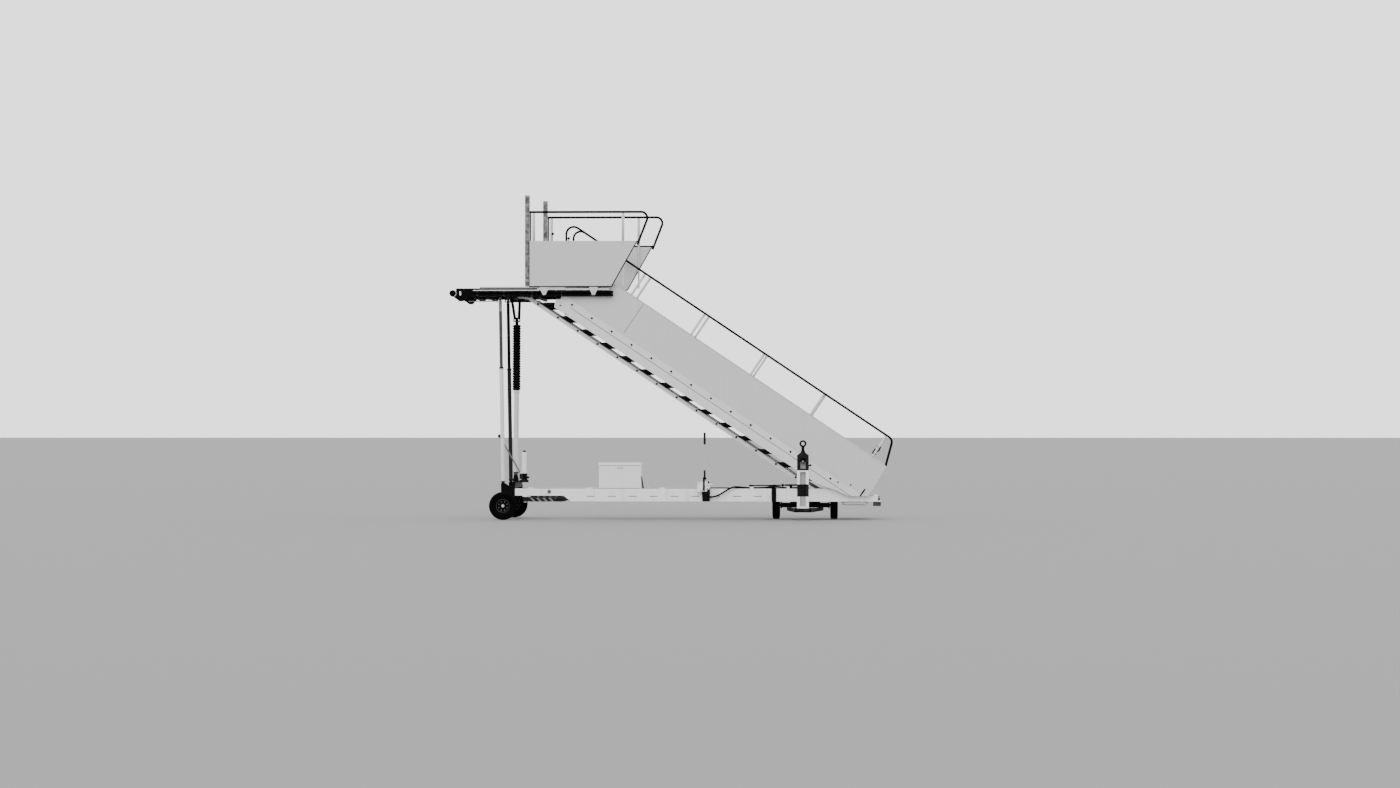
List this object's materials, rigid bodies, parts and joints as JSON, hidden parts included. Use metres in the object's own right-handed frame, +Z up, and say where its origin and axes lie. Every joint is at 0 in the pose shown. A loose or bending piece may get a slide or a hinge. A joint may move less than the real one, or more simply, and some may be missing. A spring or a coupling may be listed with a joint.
{
  "type": "mobile aircraft stairs",
  "caption": "Towable passenger stairs with a self-levelling flight, a raised platform with sliding guards, a hand-pumped lift, a steered front bogie and a folding tow bar.",
  "frame": {"origin": "on the ground below the middle of the rear axle", "axes": "+X to the foot of the stairs, -Y to the near side, +Z up"},
  "size_m": [6.7268, 2.631, 4.819],
  "materials": {
    "white_paint": "semi-gloss light grey-white paint",
    "black_paint": "satin black paint",
    "tread_grey": "ribbed plate, dull",
    "steel": "ground steel",
    "tyre": "ribbed rubber",
    "rim_black": "satin black paint",
    "rubber": "moulded rubber",
    "deck_grey": "chequered plate with pale edge",
    "lamp": "pale lens"
  },
  "bodies": {
    "chassis": {"chassis_frame": "white_paint", "fixed_steps": "tread_grey", "rear_axle": "white_paint", "tool_box": "white_paint", "lever_pedestal": "white_paint", "hand_pump": "black_paint", "hydraulic_hose": "rubber", "end_lamps": "lamp", "brake_lever": "black_paint"},
    "box_lid": {"box_lid": "white_paint"},
    "rear_wheel_near": {"rear_tyre_near": "tyre", "rear_rim_near": "rim_black"},
    "rear_wheel_far": {"rear_tyre_far": "tyre", "rear_rim_far": "rim_black"},
    "steering": {"steer_axle": "black_paint"},
    "front_wheel_rear": {"front_tyre_rear": "tyre", "front_rim_rear": "rim_black"},
    "front_wheel_fore": {"front_tyre_fore": "tyre", "front_rim_fore": "rim_black"},
    "tow_bar": {"tow_bar": "white_paint", "tow_eye": "black_paint"},
    "flight": {"stair_stringers": "white_paint", "stair_cheeks": "white_paint", "stair_handrails": "black_paint", "rail_stanchions": "white_paint"},
    "tie_bars": {"tie_bars": "white_paint"},
    "platform": {"platform_frame": "black_paint", "platform_rails": "black_paint", "platform_deck": "deck_grey"},
    "extension": {"platform_extension": "black_paint", "bumper": "rubber"},
    "guard_near": {"guard_panel_near": "white_paint", "guard_rail_near": "black_paint", "guard_post_near": "deck_grey"},
    "guard_far": {"guard_panel_far": "white_paint", "guard_rail_far": "black_paint", "guard_post_far": "deck_grey"},
    "lift_barrel": {"lift_barrel": "white_paint", "lift_bellows": "rubber"},
    "lift_rod": {"lift_rod": "steel"},
    "strut_tubes": {"strut_tubes": "white_paint"},
    "strut_rods": {"strut_rods": "steel"},
    "stabiliser_near": {"stabiliser_near": "white_paint"},
    "stabiliser_far": {"stabiliser_far": "white_paint"},
    "step_01": {"step_01": "tread_grey"},
    "step_02": {"step_02": "tread_grey"},
    "step_03": {"step_03": "tread_grey"},
    "step_04": {"step_04": "tread_grey"},
    "step_05": {"step_05": "tread_grey"},
    "step_06": {"step_06": "tread_grey"},
    "step_07": {"step_07": "tread_grey"},
    "step_08": {"step_08": "tread_grey"},
    "step_09": {"step_09": "tread_grey"},
    "step_10": {"step_10": "tread_grey"},
    "step_11": {"step_11": "tread_grey"},
    "step_12": {"step_12": "tread_grey"},
    "step_13": {"step_13": "tread_grey"},
    "step_14": {"step_14": "tread_grey"}
  },
  "joints": [
    {"name": "flight_tilt", "type": "hinge", "parent": "chassis", "child": "flight", "pos_m": [5.174, 0, 0.426], "axis": [0, -1, 0], "range_deg": [-2, 8]},
    {"name": "platform_level", "type": "hinge", "parent": "flight", "child": "platform", "pos_m": [0.81, 0, 3.308], "axis": [0, -1, 0], "range_deg": [-8, 2]},
    {"name": "tie_tilt", "type": "hinge", "parent": "chassis", "child": "tie_bars", "pos_m": [4.657, 0, 0.442], "axis": [0, -1, 0], "range_deg": [-2, 8]},
    {"name": "step_01_level", "type": "hinge", "parent": "flight", "child": "step_01", "pos_m": [1.01076, 0, 3.19239], "axis": [0, -1, 0], "range_deg": [-8, 2]},
    {"name": "step_02_level", "type": "hinge", "parent": "flight", "child": "step_02", "pos_m": [1.306, 0, 2.994], "axis": [0, -1, 0], "range_deg": [-8, 2]},
    {"name": "step_03_level", "type": "hinge", "parent": "flight", "child": "step_03", "pos_m": [1.60124, 0, 2.79561], "axis": [0, -1, 0], "range_deg": [-8, 2]},
    {"name": "step_04_level", "type": "hinge", "parent": "flight", "child": "step_04", "pos_m": [1.89647, 0, 2.59722], "axis": [0, -1, 0], "range_deg": [-8, 2]},
    {"name": "step_05_level", "type": "hinge", "parent": "flight", "child": "step_05", "pos_m": [2.19171, 0, 2.39883], "axis": [0, -1, 0], "range_deg": [-8, 2]},
    {"name": "step_06_level", "type": "hinge", "parent": "flight", "child": "step_06", "pos_m": [2.48694, 0, 2.20044], "axis": [0, -1, 0], "range_deg": [-8, 2]},
    {"name": "step_07_level", "type": "hinge", "parent": "flight", "child": "step_07", "pos_m": [2.78218, 0, 2.00205], "axis": [0, -1, 0], "range_deg": [-8, 2]},
    {"name": "step_08_level", "type": "hinge", "parent": "flight", "child": "step_08", "pos_m": [3.07741, 0, 1.80366], "axis": [0, -1, 0], "range_deg": [-8, 2]},
    {"name": "step_09_level", "type": "hinge", "parent": "flight", "child": "step_09", "pos_m": [3.37265, 0, 1.60527], "axis": [0, -1, 0], "range_deg": [-8, 2]},
    {"name": "step_10_level", "type": "hinge", "parent": "flight", "child": "step_10", "pos_m": [3.66788, 0, 1.40688], "axis": [0, -1, 0], "range_deg": [-8, 2]},
    {"name": "step_11_level", "type": "hinge", "parent": "flight", "child": "step_11", "pos_m": [3.96312, 0, 1.20849], "axis": [0, -1, 0], "range_deg": [-8, 2]},
    {"name": "step_12_level", "type": "hinge", "parent": "flight", "child": "step_12", "pos_m": [4.25835, 0, 1.0101], "axis": [0, -1, 0], "range_deg": [-8, 2]},
    {"name": "step_13_level", "type": "hinge", "parent": "flight", "child": "step_13", "pos_m": [4.55359, 0, 0.81171], "axis": [0, -1, 0], "range_deg": [-8, 2]},
    {"name": "step_14_level", "type": "hinge", "parent": "flight", "child": "step_14", "pos_m": [4.84882, 0, 0.61332], "axis": [0, -1, 0], "range_deg": [-8, 2]},
    {"name": "lift_swing", "type": "hinge", "parent": "chassis", "child": "lift_barrel", "pos_m": [0.111, 0, 0.64], "axis": [0, -1, 0], "range_deg": [-3, 11.5]},
    {"name": "lift_stroke", "type": "slide", "parent": "lift_barrel", "child": "lift_rod", "axis": [0.0055, 0, 1], "range_m": [-0.602, 0.152], "deforming": ["lift_bellows"]},
    {"name": "strut_swing", "type": "hinge", "parent": "chassis", "child": "strut_tubes", "pos_m": [-0.022, 0, 0.517], "axis": [0, -1, 0], "range_deg": [-2.5, 9.6]},
    {"name": "strut_stroke", "type": "slide", "parent": "strut_tubes", "child": "strut_rods", "axis": [-0.0166, 0, 0.9999], "range_m": [-0.604, 0.152]},
    {"name": "extension_slide", "type": "slide", "parent": "platform", "child": "extension", "axis": [-1, 0, 0], "range_m": [-0.08, 0.15]},
    {"name": "guard_near_slide", "type": "slide", "parent": "platform", "child": "guard_near", "axis": [-1, 0, 0], "range_m": [-0.14, 0.56]},
    {"name": "guard_far_slide", "type": "slide", "parent": "platform", "child": "guard_far", "axis": [-1, 0, 0], "range_m": [0, 0.7]},
    {"name": "steering_turn", "type": "hinge", "parent": "chassis", "child": "steering", "pos_m": [4.46, 0, 0.4], "axis": [0, 0, 1], "range_deg": [0, 180]},
    {"name": "tow_bar_lower", "type": "hinge", "parent": "steering", "child": "tow_bar", "pos_m": [4.46, -1.65, 0.165], "axis": [1, 0, 0], "range_deg": [0, 90]},
    {"name": "front_wheel_rear_spin", "type": "hinge", "parent": "steering", "child": "front_wheel_rear", "pos_m": [4.027, 0, 0.2075], "axis": [1, 0, 0], "continuous": true},
    {"name": "front_wheel_fore_spin", "type": "hinge", "parent": "steering", "child": "front_wheel_fore", "pos_m": [4.893, 0, 0.2075], "axis": [1, 0, 0], "continuous": true},
    {"name": "rear_wheel_near_spin", "type": "hinge", "parent": "chassis", "child": "rear_wheel_near", "pos_m": [0, -0.89, 0.2075], "axis": [0, 1, 0], "continuous": true},
    {"name": "rear_wheel_far_spin", "type": "hinge", "parent": "chassis", "child": "rear_wheel_far", "pos_m": [0, 0.89, 0.2075], "axis": [0, 1, 0], "continuous": true},
    {"name": "stabiliser_near_swing", "type": "hinge", "parent": "chassis", "child": "stabiliser_near", "pos_m": [0.306, -0.63, 0.3], "axis": [0, 0, -1], "range_deg": [0, 90]},
    {"name": "stabiliser_far_swing", "type": "hinge", "parent": "chassis", "child": "stabiliser_far", "pos_m": [0.306, 0.63, 0.3], "axis": [0, 0, 1], "range_deg": [0, 90]},
    {"name": "box_lid_hinge", "type": "hinge", "parent": "chassis", "child": "box_lid", "pos_m": [1.721, -0.25, 0.838], "axis": [-1, 0, 0], "range_deg": [0, 95]}
  ],
  "couplings": [
    {"joint": "platform_level", "follows": "flight_tilt", "ratio": -1},
    {"joint": "tie_tilt", "follows": "flight_tilt", "ratio": 1},
    {"joint": "step_01_level", "follows": "flight_tilt", "ratio": -1},
    {"joint": "step_02_level", "follows": "flight_tilt", "ratio": -1},
    {"joint": "step_03_level", "follows": "flight_tilt", "ratio": -1},
    {"joint": "step_04_level", "follows": "flight_tilt", "ratio": -1},
    {"joint": "step_05_level", "follows": "flight_tilt", "ratio": -1},
    {"joint": "step_06_level", "follows": "flight_tilt", "ratio": -1},
    {"joint": "step_07_level", "follows": "flight_tilt", "ratio": -1},
    {"joint": "step_08_level", "follows": "flight_tilt", "ratio": -1},
    {"joint": "step_09_level", "follows": "flight_tilt", "ratio": -1},
    {"joint": "step_10_level", "follows": "flight_tilt", "ratio": -1},
    {"joint": "step_11_level", "follows": "flight_tilt", "ratio": -1},
    {"joint": "step_12_level", "follows": "flight_tilt", "ratio": -1},
    {"joint": "step_13_level", "follows": "flight_tilt", "ratio": -1},
    {"joint": "step_14_level", "follows": "flight_tilt", "ratio": -1},
    {"joint": "lift_swing", "follows": "flight_tilt", "ratio": 1.39},
    {"joint": "lift_stroke", "follows": "flight_tilt", "m_per_rad": -4.3029},
    {"joint": "strut_swing", "follows": "flight_tilt", "ratio": 1.175},
    {"joint": "strut_stroke", "follows": "flight_tilt", "m_per_rad": -4.3144}
  ]
}
